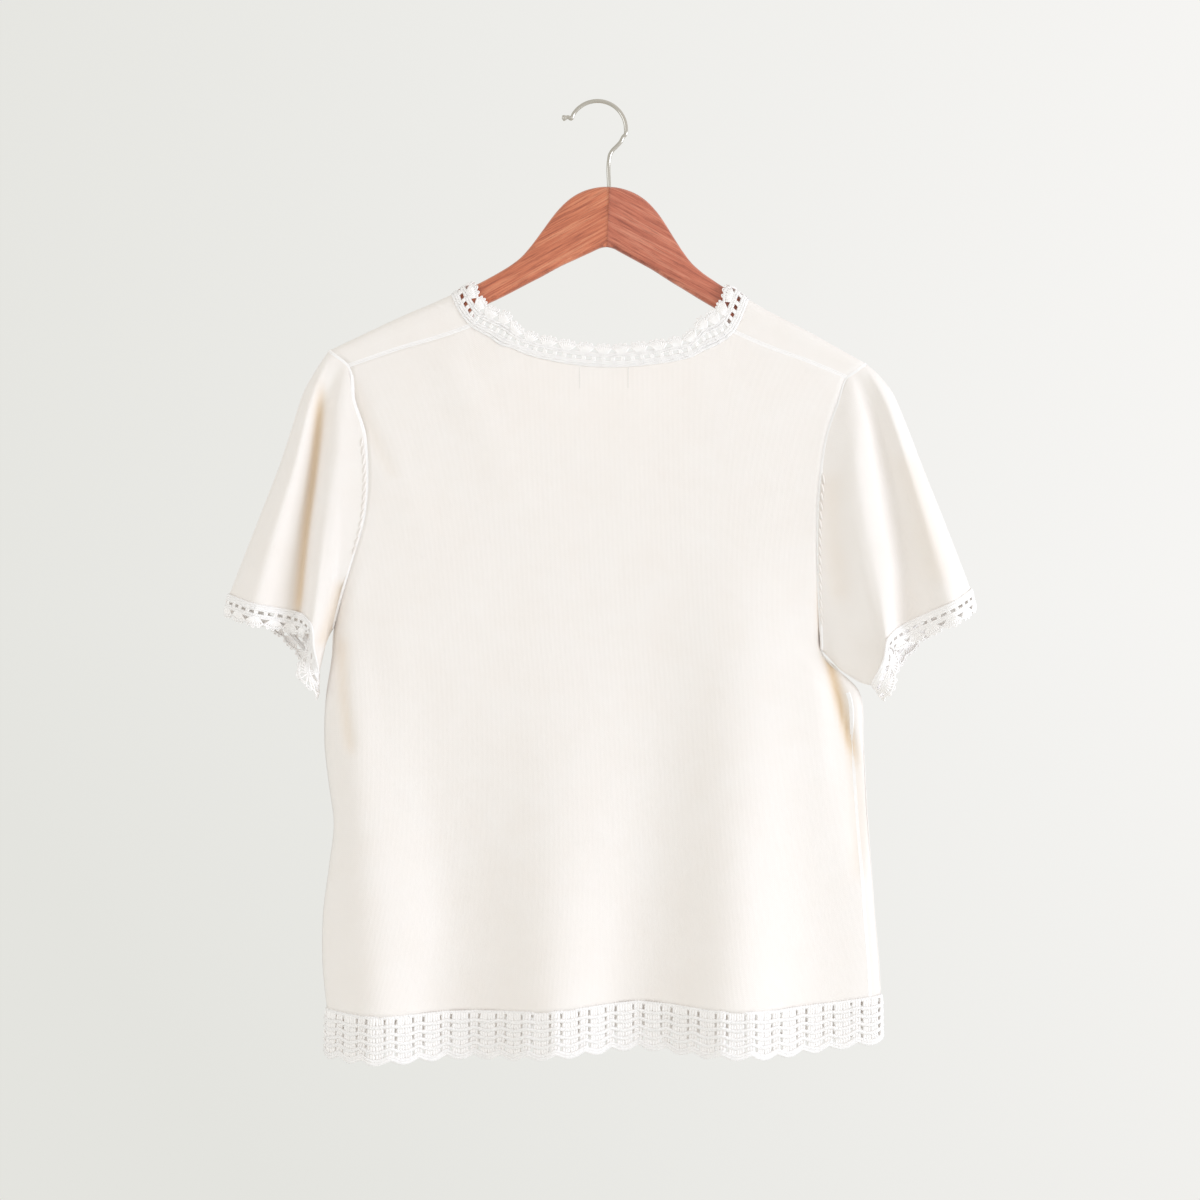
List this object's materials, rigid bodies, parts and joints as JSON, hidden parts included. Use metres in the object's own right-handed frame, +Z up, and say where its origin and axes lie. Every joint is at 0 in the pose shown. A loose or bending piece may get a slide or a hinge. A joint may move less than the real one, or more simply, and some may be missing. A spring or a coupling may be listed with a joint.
{
  "type": "knit t-shirt on a wooden hanger",
  "caption": "Short-sleeved knit top with crochet edgings at the neck, cuffs and hem, held flat on a wooden clothes hanger with a wire hook.",
  "frame": {"origin": "inside of the hook's top, where the hanger rests on a rail", "axes": "+Z up, +Y from the top's back to its front, so the pictured back faces -Y, +X to the right of the picture"},
  "size_m": [0.6001, 0.0784, 0.7644],
  "materials": {
    "knit_cotton": "fine plain knit in off-white cotton",
    "crochet_cotton": "crocheted off-white cotton",
    "hanger_wood": "reddish-brown varnished hardwood",
    "hook_metal": "bright plated steel wire"
  },
  "bodies": {
    "root": {"back": "knit_cotton", "front": "knit_cotton", "sleeve_left": "knit_cotton", "sleeve_right": "knit_cotton", "neck_trim_back": "crochet_cotton", "neck_trim_front": "crochet_cotton", "cuff_left_back": "crochet_cotton", "cuff_left_front": "crochet_cotton", "cuff_right_back": "crochet_cotton", "cuff_right_front": "crochet_cotton", "hem_band": "crochet_cotton", "hanger_arm_left": "hanger_wood", "hanger_arm_right": "hanger_wood", "hanger_hook": "hook_metal"}
  },
  "joints": []
}
